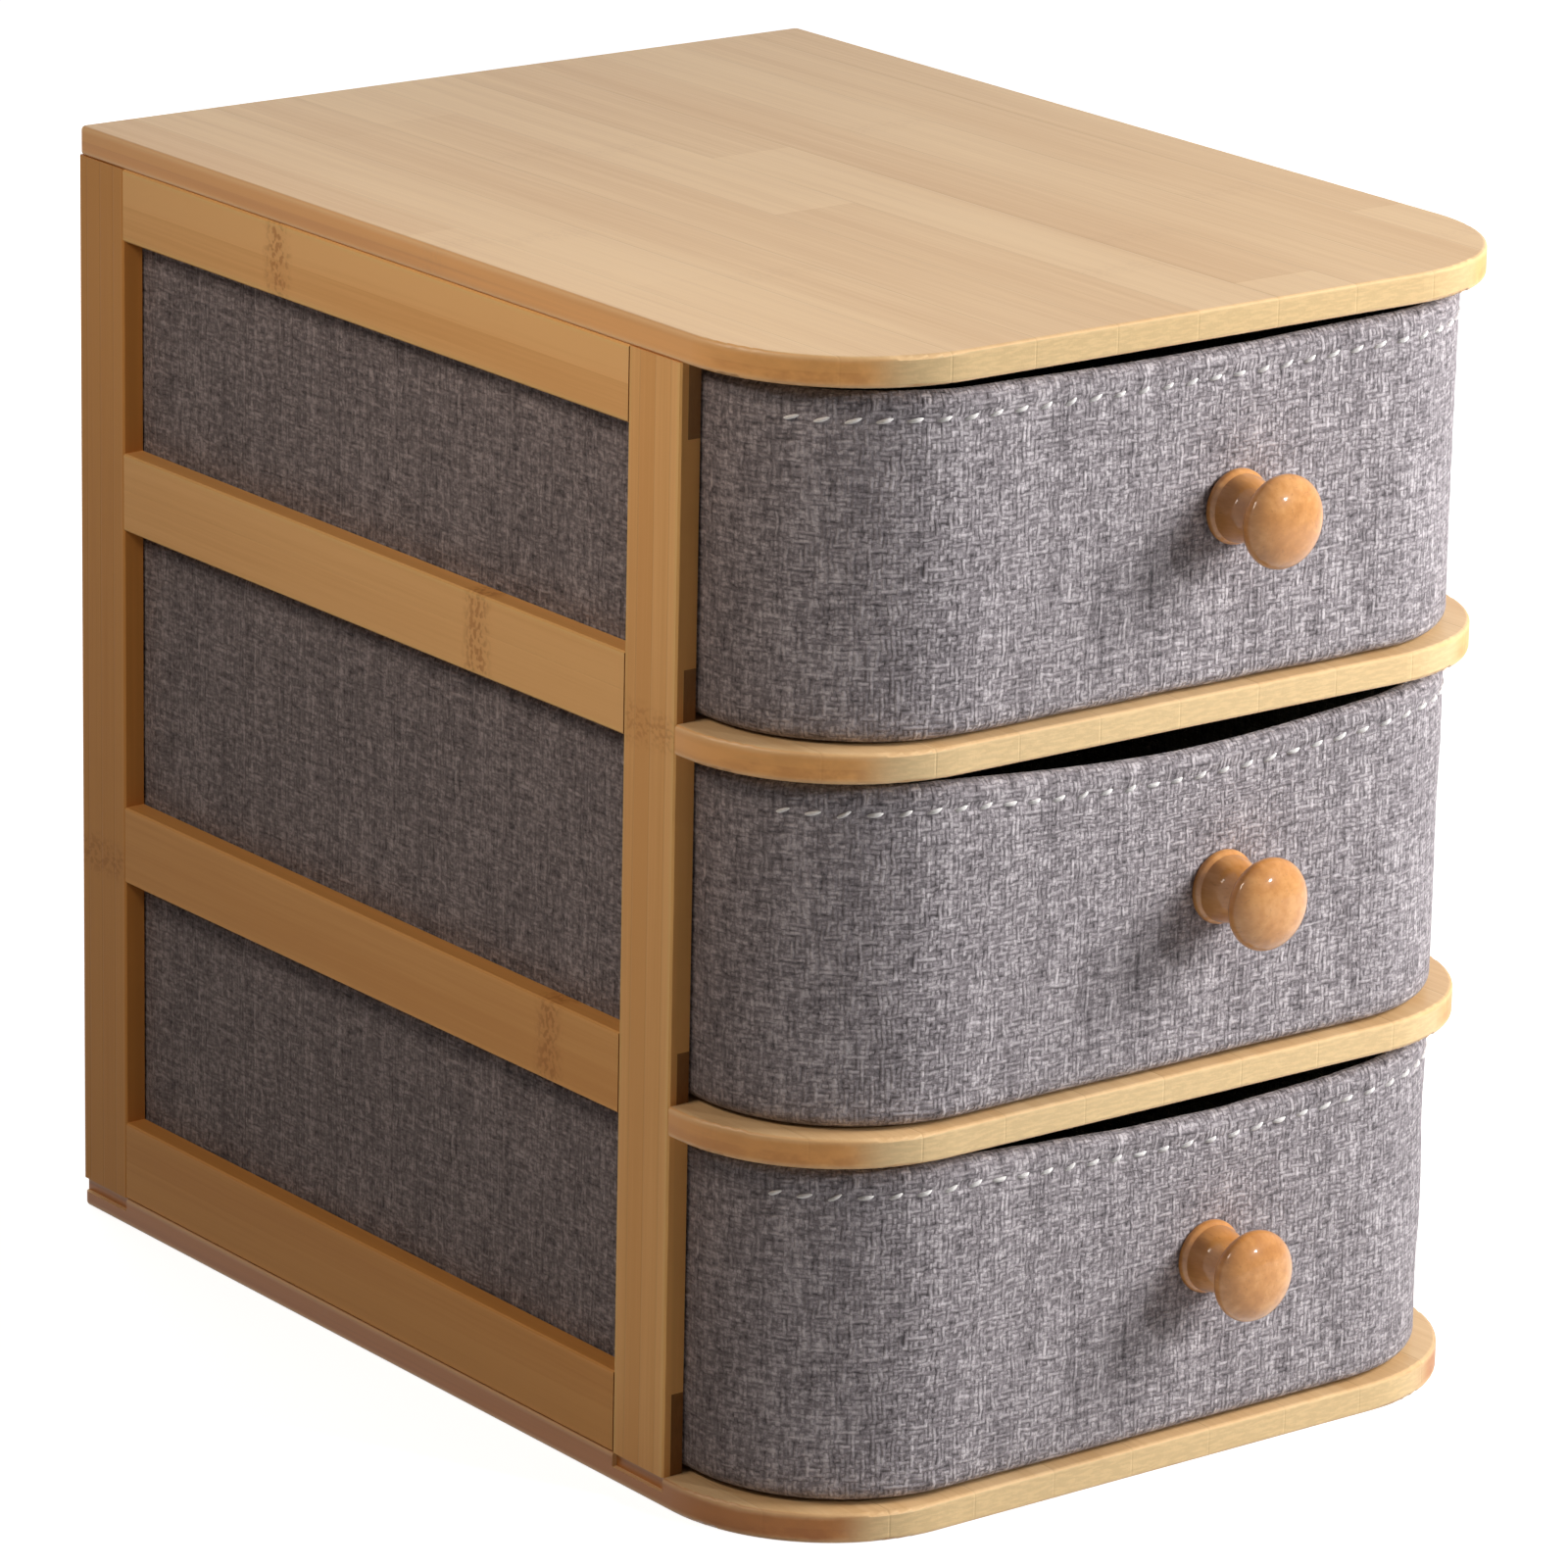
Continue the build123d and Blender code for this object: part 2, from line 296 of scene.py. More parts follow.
def front_share(walk, low):
    """1 on the drawer's flat front and falling to 0 round its corners, for each step of the walk."""
    points = walk[0]
    return np.clip(1 - (points[:, 1] - low[1]) / (FRONT_FADE * FRONT_CORNER), 0, 1) ** 2


def rim_dip(level, walk, low):
    """How far the rim hangs at each step of the walk: across the front a lens, a power of a cosine
    that is nothing at the corners and deepest near the middle, and elsewhere nothing."""
    points = walk[0]
    across = np.clip((points[:, 0] - RIM_MIDDLE[level]) / RIM_HALF, -1, 1)
    return RIM_DIP[level] * np.cos(across * math.pi / 2) ** RIM_POWER * front_share(walk, low)


def front_board(level, low, high, solid_low, solid_high):
    """The stiffening board round the front and both its corners, cut with the same hanging rim: a
    strip of even thickness carried along the front part of the walk, square at both ends."""
    walk = drawer_walk(low, high)
    points, outward = walk[:2]
    part = np.nonzero(points[:, 1] < solid_high[1] - 0.1 * MM)[0]
    outer = low[1] - solid_low[1]
    inner = outer - BOARD_THICK
    top = solid_high[2] - rim_dip(level, walk, low)[part]
    foot = np.full(len(part), solid_low[2])
    corners = [(outer, top), (outer, foot), (inner, foot), (inner, top)]
    grid = np.stack([np.concatenate([points[part] + out * outward[part], up[:, None]], 1)
                     for out, up in corners])
    last = (len(part) - 1) * 4
    ends = np.array([[0, 1, 2, 3], [last + 3, last + 2, last + 1, last]])
    piece = new_piece(f"{level}_drawer_front_board", grid.transpose(1, 0, 2).reshape(-1, 3),
                      [net(len(part), 4), ends])
    piece.data.shade_flat()
    return piece


def cover_section(top, foot):
    """The cover's section: up the turned hem inside, over the rim in a half circle, down the outside
    with closer rows at the stitches, and round the foot in a quarter circle."""
    half = HEM_THICK / 2
    stitch = top - STITCH_DROP
    heights = np.concatenate([
        np.linspace(top - half - 0.5 * MM, stitch + 1.6 * MM, ABOVE_STITCH_ROWS),
        stitch + np.linspace(1.2, -1.6, STITCH_ROWS) * MM,
        np.linspace(stitch - 2.6 * MM, foot + FOOT_ROLL + 0.4 * MM, WALL_ROWS)])
    return np.concatenate([
        upright(-HEM_THICK, np.linspace(top - HEM_DEPTH, top - half, HEM_ROWS, endpoint=False)),
        arc(-half, top - half, half, math.pi, 0, RIM_ROWS),
        upright(0.0, heights),
        arc(-FOOT_ROLL, foot + FOOT_ROLL, FOOT_ROLL, 0, -math.pi / 2, SOLE_ROWS)])


def cover_skin(level, low, high, seed):
    """The drawer's outer cloth in one piece, from the turned hem's lower edge inside to the floor.

    The wall is drawn in along the stitch line, swells a little above it, and has the soft unevenness
    of cloth glued on board. The rim hangs in the middle of the front."""
    walk = drawer_walk(low, high)
    walked = walk[2]
    top, foot = high[2], low[2]
    stitch = top - STITCH_DROP
    section = cover_section(top, foot)
    out, up, height = carried(section, walk)
    # free is 0 on the hem, the rim and the foot, and rises to 1 between the wall's upper and lower ends.
    free = np.zeros((len(section), 1))
    arch = np.linspace(0, math.pi, ABOVE_STITCH_ROWS + STITCH_ROWS + WALL_ROWS)
    free[HEM_ROWS + RIM_ROWS:-SOLE_ROWS, 0] = np.sin(arch * 0.98 + 0.02) ** 0.5
    front = front_share(walk, low)[None]
    slack = waves(walked[None], height, seed, *BROAD_WAVES) * (SLACK + FRONT_SLACK * front)
    slack = slack + waves(walked[None], height * 2.2, seed + 9, *SHORT_WAVES) * FINE_SLACK
    sewn = np.clip(2.2 * front, 0, 1)
    groove = np.exp(-((height - stitch) / PULL_HIGH) ** 2) * sewn
    tug = PULL + PULL_CHANGE * np.cos(walked * 2 * math.pi / STITCH_PITCH)[None]
    puff = np.exp(-((height - stitch - SWELL_ABOVE) / SWELL_HIGH) ** 2) * SWELL
    out = out + (slack * free - groove * tug * (free > 0) + puff * front * (free > 0)) * MM
    ripple = np.clip(RIM_WANDER * waves(walked, 0.0, seed + 4, *RIM_WAVES)[None], 0, 1) * MM
    dip = rim_dip(level, walk, low)[None] + ripple
    near_top = np.clip((height - (top - DIP_DEEP)) / DIP_FADE, 0, 1)
    up = up - dip * near_top
    lift = np.clip(FOOT_LIFT + FOOT_WANDER * waves(walked, 0.0, seed + 5, *FOOT_WAVES)[None], 0, 1)
    near_foot = np.clip(1 - (height - foot) / FOOT_HIGH, 0, 1)
    up = up + lift * near_foot * (0.25 + 0.5 * front) * MM
    piece = tub(f"{level}_drawer_cloth", walk, out, up, foot)
    piece.data.flip_normals()
    return thicken(piece, CLOTH_THICK), walk, out, up, section


def lining_skin(level, low, high, seed):
    """The drawer's inner cloth: down inside the wall from under the hem, round the foot of the wall in
    a quarter circle, and over the floor, with the unevenness of cloth glued on board.

    Its faces look into the drawer."""
    walk = drawer_walk(low, high)
    floor = low[2] + LINING_FLOOR
    roll = LINING_ROLL
    heights = np.linspace(high[2] - LINING_TOP, floor + roll, LINING_ROWS)
    sole = arc(-LINING_INSET - roll, floor + roll, roll, 0, -math.pi / 2, LINING_SOLE_ROWS)
    out, up, height = carried(np.concatenate([upright(-LINING_INSET, heights), sole[1:]]), walk)
    free = np.clip((high[2] - height) / (20 * MM), 0, 1) * np.clip((height - floor) / (8 * MM), 0, 1)
    out = out - LINING_SLACK * (1 + waves(walk[2][None], height, seed, *LINING_WAVES)) * free * MM
    return thicken(tub(f"{level}_drawer_lining_cloth", walk, out, up, floor), LINING_THICK)


def stitch_rows(level, walk, low, high, out, up, section, seed):
    """Running stitches in two rows, outside and inside the hem, round the front and into both its
    corners; the sides' hem is glued. A stitch is a thread whose middle line rises from the cloth and
    returns, as half a sine wave, and slants a little upwards to the right, and whose thickness swells
    from its ends, as the root of half a sine wave."""
    points, outward, walked, around = walk
    stitch = high[2] - STITCH_DROP
    count = int(round(around / STITCH_PITCH))
    at = (np.arange(count) + 0.5) * around / count
    at = at[np.interp(at, walked, points[:, 1]) < low[1] + SEWN_CORNER * FRONT_CORNER]
    count = len(at)
    t = np.linspace(0, 1, THREAD_RINGS)
    draw = np.random.default_rng(seed)
    lean = draw.normal(*STITCH_LEAN, count) * MM
    long = STITCH_LONG * draw.uniform(*STITCH_RANGE, count)
    where = (at[:, None] + (t[None] - 0.5) * long[:, None]) % around
    x, y, way_x, way_y = (along_walk(walk, where, values) for values in (*points.T, *outward.T))
    normal = np.stack([way_x, way_y, np.zeros_like(way_x)], -1)
    upward = np.broadcast_to([0.0, 0.0, 1.0], normal.shape)
    angle = np.arange(THREAD_SIDES) * 2 * math.pi / THREAD_SIDES
    ring = np.cos(angle)[:, None] * normal[:, :, None, :] + np.sin(angle)[:, None] * upward[:, :, None, :]
    thick = THREAD_RADIUS * (THREAD_END + (1 - THREAD_END) * np.sqrt(np.sin(math.pi * t)))
    rise = (np.sin(math.pi * t)[None] * THREAD_RISE - THREAD_SUNK) * MM

    outside = HEM_ROWS + RIM_ROWS
    row = int(np.argmin(np.abs(section[outside:, 1] - stitch))) + outside
    inside = (np.full(len(walked), -HEM_THICK), stitch - rim_dip(level, walk, low))
    threads = []
    for shift, height, side in ((out[row], up[row], 1.0), (*inside, -1.0)):
        reach = along_walk(walk, where, shift) + side * rise
        slant = (t[None] - 0.5) * 2 * lean[:, None] * side
        z = along_walk(walk, where, height) + slant
        middle = np.stack([x + way_x * reach, y + way_y * reach, z], -1)
        threads.append((middle[:, :, None, :] + ring * thick[None, :, None, None]).reshape(count, -1, 3))
    threads = np.concatenate(threads)
    corners = THREAD_RINGS * THREAD_SIDES
    one = net(THREAD_RINGS, THREAD_SIDES)[:, ::-1]
    ends = np.array([range(THREAD_SIDES), range(corners - 1, corners - 1 - THREAD_SIDES, -1)])
    first = (np.arange(len(threads)) * corners)[:, None, None]
    return new_piece(f"{level}_drawer_stitching", threads.reshape(-1, 3),
                     [(one[None] + first).reshape(-1, 4), (ends[None] + first).reshape(-1, THREAD_SIDES)])


# --------------------------------------------------------------------- knobs

def turned_knob(level, seat, low, high):
    """The knob as it comes off the lathe: a radius for each distance from the cloth, carried round
    the axis. A rounded foot steps in to a cone that sweeps down to the neck, the back of the head
    swells out of it, and the face is a quarter of a flattened ellipse that ends in its tip.

    Both ends finish in a point on the axis, so the skin is closed."""
    x, y, z = seat
    reach, widest = high[1] - low[1], (high[0] - low[0]) / 2
    turn = np.linspace(0, math.pi / 2, FACE_ROWS + 1)[:-1]
    face = np.stack([KNOB_RADIUS * np.cos(turn) ** FACE_POWER, FACE_START + FACE_DEPTH * np.sin(turn)], 1)
    line = np.concatenate([through(KNOB_STEM, KNOB_STEPS), face]) * MM
    line[:, 0] *= widest / (KNOB_RADIUS * MM)
    line[:, 1] *= reach / ((FACE_START + FACE_DEPTH) * MM)
    side = np.arange(KNOB_SIDES)
    following = (side + 1) % KNOB_SIDES
    angle = side * 2 * math.pi / KNOB_SIDES
    radius, away = line[:, 0][:, None], line[:, 1][:, None]
    grid = np.stack([x + radius * np.cos(angle), np.broadcast_to(y - away, (len(line), KNOB_SIDES)),
                     z + radius * np.sin(angle)], -1)
    points = np.concatenate([grid.reshape(-1, 3), [[x, y, z], [x, y - reach, z]]])
    total = len(line) * KNOB_SIDES
    last = total - KNOB_SIDES
    near = np.stack([following, side, np.full(KNOB_SIDES, total)], 1)
    far = np.stack([last + side, last + following, np.full(KNOB_SIDES, total + 1)], 1)
    return new_piece(f"{level}_drawer_turned_knob", points, [net(len(line), KNOB_SIDES), near, far])


# ----------------------------------------------------------------- materials

class Nodes:
    """A node tree put together node by node. A number, a colour or another node's output can be given
    for any input."""

    def __init__(self, tree):
        self.tree = tree
        self.tree.nodes.clear()

    def add(self, kind, given, **choices):
        """Adds one node, with its choices and what is given for its inputs."""
        node = self.tree.nodes.new("ShaderNode" + kind)
        for key, value in choices.items():
            setattr(node, key, value)
        for key, value in given.items():
            self.give(node, key, value)
        return node

    def give(self, node, key, value):
        """Gives an input of a node a fixed value or another node's output."""
        if isinstance(value, bpy.types.NodeSocket):
            self.tree.links.new(value, node.inputs[key])
        else:
            node.inputs[key].default_value = value

    def sum(self, operation, a, b=0.0, c=0.0, clamp=False):
        """One sum on numbers."""
        return self.add("Math", {0: a, 1: b, 2: c}, operation=operation, use_clamp=clamp).outputs[0]

    def mixed(self, *parts):
        """The sum of values, each times its weight."""
        weighed = [self.sum("MULTIPLY", value, weight) for value, weight in parts]
        total = weighed[0]
        for value in weighed[1:]:
            total = self.sum("ADD", total, value)
        return total

    def swing(self, value, size):
        """A value between 0 and 1 made a swing about nothing, size from end to end."""
        return self.sum("MULTIPLY", self.sum("SUBTRACT", value, 0.5), size)

    def between(self, share, a, b):
        """A number between a and b."""
        return self.add("Mix", {0: share, 2: a, 3: b}).outputs[0]

    def blend(self, share, a, b, kind="MIX"):
        """A colour between a and b, which are three numbers or another node's output."""
        a, b = ((*colour, 1) if isinstance(colour, tuple) else colour for colour in (a, b))
        return self.add("Mix", {0: share, 6: a, 7: b}, data_type="RGBA", blend_type=kind).outputs[2]

    def ease(self, value, low, high, start=0.0, end=1.0):
        """start below low, end above high, and a smooth step between."""
        given = {"Value": value, "From Min": low, "From Max": high, "To Min": start, "To Max": end}
        return self.add("MapRange", given, interpolation_type="SMOOTHSTEP").outputs[0]

    def place(self, turn=(0, 0, 0), move=(0, 0, 0), stretch=(1, 1, 1)):
        """Object coordinates, moved, turned and stretched."""
        spot = self.add("TexCoord", {}).outputs["Object"]
        return self.add("Mapping", {0: spot, 1: move, 2: turn, 3: stretch}).outputs[0]

    def split(self, spot):
        """The three coordinates of a place."""
        return self.add("SeparateXYZ", {0: spot}).outputs

    def join(self, a, b, c=0.0):
        """A place from three coordinates."""
        return self.add("CombineXYZ", {0: a, 1: b, 2: c}).outputs[0]

    def facing(self, axis, low, high, start=0.0, end=1.0):
        """How squarely the surface faces along an axis, eased between two shares of it."""
        normal = self.split(self.add("TexCoord", {}).outputs["Normal"])
        return self.ease(self.sum("ABSOLUTE", normal["XYZ".index(axis)]), low, high, start, end)

    def grain(self, spot, scale, detail=2.0, rough=0.5):
        """Noise between 0 and 1."""
        given = {"Vector": spot, "Scale": scale, "Detail": detail, "Roughness": rough}
        return self.add("TexNoise", given).outputs[0]

    def streaks(self, coordinates, scales, detail, rough=0.5):
        """Noise over two or three coordinates that each have a scale of their own."""
        spot = self.join(*(self.sum("MULTIPLY", a, scale) for a, scale in zip(coordinates, scales)))
        return self.grain(spot, 1.0, detail, rough)

    def draw(self, a, b):
        """A number between 0 and 1 for each pair of whole numbers."""
        return self.add("TexWhiteNoise", {"Vector": self.join(a, b)}, noise_dimensions="2D").outputs[0]

    def ramp(self, value, stops):
        """Colours along a scale from 0 to 1."""
        node = self.add("ValToRGB", {0: value})
        line = node.color_ramp.elements
        line[0].position, line[0].color = stops[0][0], (*stops[0][1], 1)
        line[1].position, line[1].color = stops[-1][0], (*stops[-1][1], 1)
        for where, colour in stops[1:-1]:
            line.new(where).color = (*colour, 1)
        return node.outputs[0]


class Finish(Nodes):
    """A material and its shader."""

    def __init__(self, name):
        self.material = bpy.data.materials.new(name)
        self.material.use_nodes = True
        super().__init__(self.material.node_tree)
        self.shader = self.add("BsdfPrincipled", {})
        self.add("OutputMaterial", {0: self.shader.outputs[0]})

    def fix(self, **fixed):
        """Sets values that are the same all over the surface on the shader itself."""
        for key, value in fixed.items():
            self.shader.inputs[key.replace("_", " ")].default_value = value

    def finish(self, colour, roughness, height, depth, strength, **fixed):
        """Sets the shader's colour, roughness, bump and fixed values."""
        bump = self.add("Bump", {"Height": height, "Distance": depth, "Strength": strength})
        self.give(self.shader, "Base Color", colour)
        self.give(self.shader, "Roughness", roughness)
        self.give(self.shader, "Normal", bump.outputs[0])
        self.fix(**fixed)
        return self.material


def shaded(colour, *by):
    """A colour whose three channels are multiplied by one number, or by three."""
    return tuple(v * s for v, s in zip(colour, by * 3))


NODE_STEP = 0.235  # from one node of a strip to the next
PIECE_LONG = 0.34  # one length of a strip in a board
PIECE_SHIFT = 5.3  # how many lengths the strips' joints are staggered by at most
BELOW_ALL = -1.0  # a ply height for a piece that is of one ply
HAIR_LINE = 0.35  # in millimetres
# Added to a strip's number, these keep the draws for its lengths and its nodes apart.
PIECE_DRAW, START_DRAW = 57.0, 31.0
# Noise on coordinates across, along and through the strips: its scales, detail and roughness.
FINE_FIBRES = ((1500.0, 22.0, 1500.0), 3.0, 0.6)
LONG_FIBRES = ((300.0, 5.0, 300.0), 3.0, 0.55)
TONE_CLOUDS = ((24.0, 7.0, 1.0), 2.0)
NODE_FLECKS = ((760.0, 900.0, 760.0), 1.0)
CUT_DOTS = ((260.0, 1300.0), 2.0, 0.6)  # across and through only
# What the colour is multiplied by in the lower ply, on the long fibres of an edge, in a node, in a
# hair line, in the painted highlight along an arris and between the dots of a cut end.
LOWER_PLY, EDGE_FIBRES, NODE_TONE = (0.90, 0.84, 0.78), 1.12, (0.62, 0.50, 0.40)
HAIR_TONE, ARRIS_HIGHLIGHT_TONE, CUT_TONE = 0.50, (1.16, 1.14, 1.12), 0.88
# The palest that the painted highlight on an arris may be, in each channel.
PALEST = 0.86


def bamboo(name, along, across, pale, deep, edge, end, seed, width=20.0, middle=0.0, gloss=0.42,
           marks=0.3, seams=0.3, shine=0.4, rim=None, node_at=None):
    """Pressed bamboo under varnish. along is the grain's axis and across the axis its strips, each of
    a width in millimetres, lie side by side on. A strip has fine long fibres, a hair line to its
    neighbour and, every quarter of a metre, a node: a soft band of short darker flecks. Each strip
    has its own tone, or in a board each length of it. node_at makes every strip one length and puts
    a node at one place.

    Faces that show the strips' cut ends are dotted in the end colour. Side edges take the edge colour
    in two plies, which meet at the height middle. rim = (axis, middle, half) paints a paler highlight
    along the arrises at the two ends of that axis, a painted highlight where light catches the edges.
    marks and seams are the strength of nodes and hair lines."""
    f = Finish(name)
    third = ({"X", "Y", "Z"} - {along, across}).pop()
    draw = np.random.default_rng(seed)
    start_along, _, start_third = draw.uniform(0.0, 1.0, 3)
    if node_at is not None:
        start_along = 0.5 * NODE_STEP - node_at
    start_across = 10.0 * width * MM + draw.uniform(0, 0.4) * width * MM
    spot = f.split(f.place())
    run = f.sum("ADD", spot["XYZ".index(along)], start_along)
    side = f.sum("ADD", spot["XYZ".index(across)], start_across)
    inner = f.sum("ADD", spot["XYZ".index(third)], start_third)

    # Each strip or length of it draws its tone.
    wobble = f.sum("MULTIPLY", f.grain(f.join(f.sum("MULTIPLY", run, 3.0), side), 2.0), 1.2 * MM)
    cell = f.sum("DIVIDE", f.sum("ADD", side, wobble), width * MM)
    strip = f.sum("FLOOR", cell)
    ply = f.sum("GREATER_THAN", spot[2], middle)
    layer = f.sum("ADD", ply, float(seed))
    tone = f.draw(strip, layer)
    start = 0.0
    if node_at is None:
        stagger = f.sum("MULTIPLY", tone, PIECE_SHIFT)
        piece = f.sum("FLOOR", f.sum("ADD", f.sum("DIVIDE", run, PIECE_LONG), stagger))
        tone = f.draw(f.sum("ADD", strip, PIECE_DRAW), f.sum("ADD", piece, layer))
        tone = f.sum("ADD", f.sum("MULTIPLY", tone, 0.50), 0.25)
        start = f.draw(f.sum("ADD", strip, START_DRAW), float(seed))

    here = (side, run, inner)
    fine = f.streaks(here, *FINE_FIBRES)
    long = f.streaks(here, *LONG_FIBRES)
    cloud = f.streaks(here, *TONE_CLOUDS)
    share = f.ease(f.mixed((tone, 0.40), (long, 0.42), (fine, 0.34), (cloud, 0.34)), 0.48, 0.96)
    colour = f.blend(share, deep, pale)

    # Side edges show the two plies.
    flank = f.facing(across, 0.22, 0.62)
    plies = f.blend(ply, shaded(edge, *LOWER_PLY), edge)
    grainy = f.blend(f.ease(long, 0.35, 0.7), plies, shaded(edge, EDGE_FIBRES))
    colour = f.blend(flank, colour, grainy)

    # The node's band: how far this point is, along the strip, from the nearest node.
    phase = f.sum("FRACT", f.sum("ADD", f.sum("DIVIDE", run, NODE_STEP), start))
    away = f.sum("MULTIPLY", f.sum("ABSOLUTE", f.sum("SUBTRACT", phase, 0.5)), NODE_STEP)
    ragged = f.sum("ADD", away, f.swing(long, 4.0 * MM))
    fleck = f.ease(f.streaks(here, *NODE_FLECKS), 0.44, 0.62, 0.22, 1.0)
    knot = f.sum("MULTIPLY", f.ease(ragged, 1.0 * MM, 6.2 * MM, 1.0, 0.0), fleck)
    colour = f.blend(f.sum("MULTIPLY", knot, marks), colour, shaded(deep, *NODE_TONE))

    # Hair lines between strips, which don't show on the side edges.
    line = f.sum("FRACT", cell)
    nearest = f.sum("MINIMUM", line, f.sum("SUBTRACT", 1.0, line))
    seam = f.ease(nearest, 0.0, HAIR_LINE / width, 1.0, 0.0)
    shown = f.sum("SUBTRACT", seams, f.sum("MULTIPLY", flank, seams))
    colour = f.blend(f.sum("MULTIPLY", seam, shown), colour, shaded(deep, HAIR_TONE))

    # Painted highlight: the arrises at both ends of the rim's axis are painted paler, where light catches the
    # edges.
    if rim:
        axis, centre, half = rim
        off = f.sum("ABSOLUTE", f.sum("SUBTRACT", spot["XYZ".index(axis)], centre))
        arris_highlight = f.ease(f.sum("ADD", off, f.swing(long, 0.9 * MM)), half - 1.6 * MM, half - 0.2 * MM)
        arris_highlight = f.sum("MULTIPLY", arris_highlight, f.facing(axis, 0.5, 0.95, 1.0, 0.0))
        highlight_colour = tuple(min(PALEST, v) for v in shaded(pale, *ARRIS_HIGHLIGHT_TONE))
        colour = f.blend(f.sum("MULTIPLY", arris_highlight, 0.55), colour, highlight_colour)

    dots = f.streaks((side, inner), *CUT_DOTS)
    cut = f.blend(f.ease(dots, 0.42, 0.62), shaded(end, CUT_TONE), end)
    colour = f.blend(f.sum("MULTIPLY", f.facing(along, 0.84, 0.97), 0.9), colour, cut)
    rough = f.sum("ADD", gloss, f.sum("MULTIPLY", fine, 0.12))
    high = f.mixed((fine, 0.5), (long, 0.6), (seam, -0.8))
    return f.finish(colour, rough, high, 0.12 * MM, 0.5, Coat_Weight=shine * 0.5, Coat_Roughness=0.3,
                    Specular_IOR_Level=shine)


def linen(name, dark, mid, light, seed, pitch, flank=None):
    """Linen-look cloth: uneven threads, a pitch in millimetres apart, cross over and under each other
    in a plain weave with slips, where a thread floats over two. A thread keeps its tone for a
    centimetre or two and has thicker, paler places, faint bands run up and down the cloth, and a fine
    fuzz lies over all. flank is painted shade, which darkens the cloth behind the front corners, on
    the drawer's sides and back.

    The pattern lies on the piece's own weave coordinates, which are real lengths in metres."""
    f = Finish(name)
    spot = f.add("UVMap", {}, uv_map="weave").outputs[0]
    along, down = f.split(spot)[:2]
    drift = f.swing(f.grain(spot, 190.0), 1.7 * MM)
    sway = f.swing(f.grain(f.join(down, along), 170.0), 1.7 * MM)
    u = f.sum("DIVIDE", f.sum("ADD", along, drift), pitch * MM)
    v = f.sum("DIVIDE", f.sum("ADD", down, sway), pitch * MM)

    def thread_tone(along_u, along_v, layer):
        """A tone that runs on along the threads of one direction."""
        place = f.join(f.sum("MULTIPLY", u, along_u), f.sum("MULTIPLY", v, along_v), layer)
        return f.grain(place, 1.0, 2.0, 0.6)

    warp = thread_tone(0.9, 0.12, float(seed))
    weft = thread_tone(0.12, 0.9, seed + 7.0)
    crown_u, crown_v = (f.sum("ABSOLUTE", f.sum("SINE", f.sum("MULTIPLY", way, math.pi))) for way in (u, v))
    column, row = f.sum("FLOOR", u), f.sum("FLOOR", v)
    slip = f.sum("GREATER_THAN", f.draw(column, row), 0.80)
    over = f.sum("MODULO", f.sum("ADD", f.sum("ABSOLUTE", f.sum("ADD", column, row)), slip), 2.0)
    crown = f.between(over, crown_u, crown_v)
    thread = f.between(over, warp, weft)
    fuzz = f.grain(spot, 640.0, 3.0, 0.7)
    streak = f.mixed((warp, 0.5), (weft, 0.5))
    cloud = f.streaks((along, down), (240.0, 22.0), 2.0, 0.6)
    # The crowns add painted shade to the colour: each thread paler at its middle and darker where it meets
    # the next, the shade of the weave's relief.
    share = f.mixed((thread, 0.42), (streak, 0.38), (fuzz, 0.86), (crown, 0.12), (cloud, 0.24))
    share = f.add("MapRange", {"Value": share, "From Min": 0.76, "From Max": 1.26}).outputs[0]
    colour = f.ramp(share, [(0.0, dark), (0.5, mid), (1.0, light)])
    # Painted shade: behind the front corners, on the drawer's sides and back, the colour is multiplied darker
    # by flank; the real cloth is one colour.
    if flank:
        behind = f.ease(f.split(f.place())[1], -0.122, -0.092)
        colour = f.blend(behind, colour, flank, kind="MULTIPLY")
    height = f.mixed((crown, 0.6), (share, 0.7))
    return f.finish(colour, 0.92, height, 0.22 * MM, 0.75, Sheen_Weight=0.12, Sheen_Roughness=0.5,
                    Specular_IOR_Level=0.15)


def turned_wood(name, seed):
    """Pale hardwood turned along its grain and varnished to a gloss: long soft streaks and a few
    darker pores under a clear coat."""
    f = Finish(name)
    start = tuple(np.random.default_rng(seed).uniform(0, 1, 3))
    spot = f.place(move=start, turn=(0.12, 0.0, 0.2), stretch=(1.0, 0.16, 1.0))
    streak = f.grain(spot, 420.0, 3.0, 0.6)
    cloud = f.grain(spot, 90.0)
    pore = f.ease(f.grain(spot, 1500.0, 2.0, 0.6), 0.60, 0.72)
    share = f.ease(f.mixed((streak, 0.7), (cloud, 0.6)), 0.40, 0.90)
    stops = [(0.0, (0.50, 0.20, 0.045)), (0.5, (0.60, 0.26, 0.068)), (1.0, (0.70, 0.34, 0.11))]
    colour = f.ramp(share, stops)
    colour = f.blend(f.sum("MULTIPLY", pore, 0.28), colour, (0.30, 0.10, 0.03))
    return f.finish(colour, 0.34, streak, 0.05 * MM, 0.4, Coat_Weight=0.8, Coat_Roughness=0.08,
                    Specular_IOR_Level=0.2)


def spun_thread(name):
    """Pale spun thread, in soft patches of a lighter and a darker tone."""
    f = Finish(name)
    patch = f.grain(f.place(turn=(0.5, 0.4, 0.6)), 1800.0, 1.0)
    colour = f.blend(patch, (0.64, 0.61, 0.60), (0.93, 0.91, 0.89))
    return f.finish(colour, 0.75, patch, 0.1 * MM, 0.5, Sheen_Weight=0.2)


def fibre_board(name, pale, deep):
    """Grey board pressed from fibres: short flecks in two tones."""
    f = Finish(name)
    fleck = f.grain(f.place(), 900.0, 4.0, 0.65)
    colour = f.blend(f.ease(fleck, 0.35, 0.65), deep, pale)
    return f.finish(colour, 0.85, fleck, 0.1 * MM, 0.4)


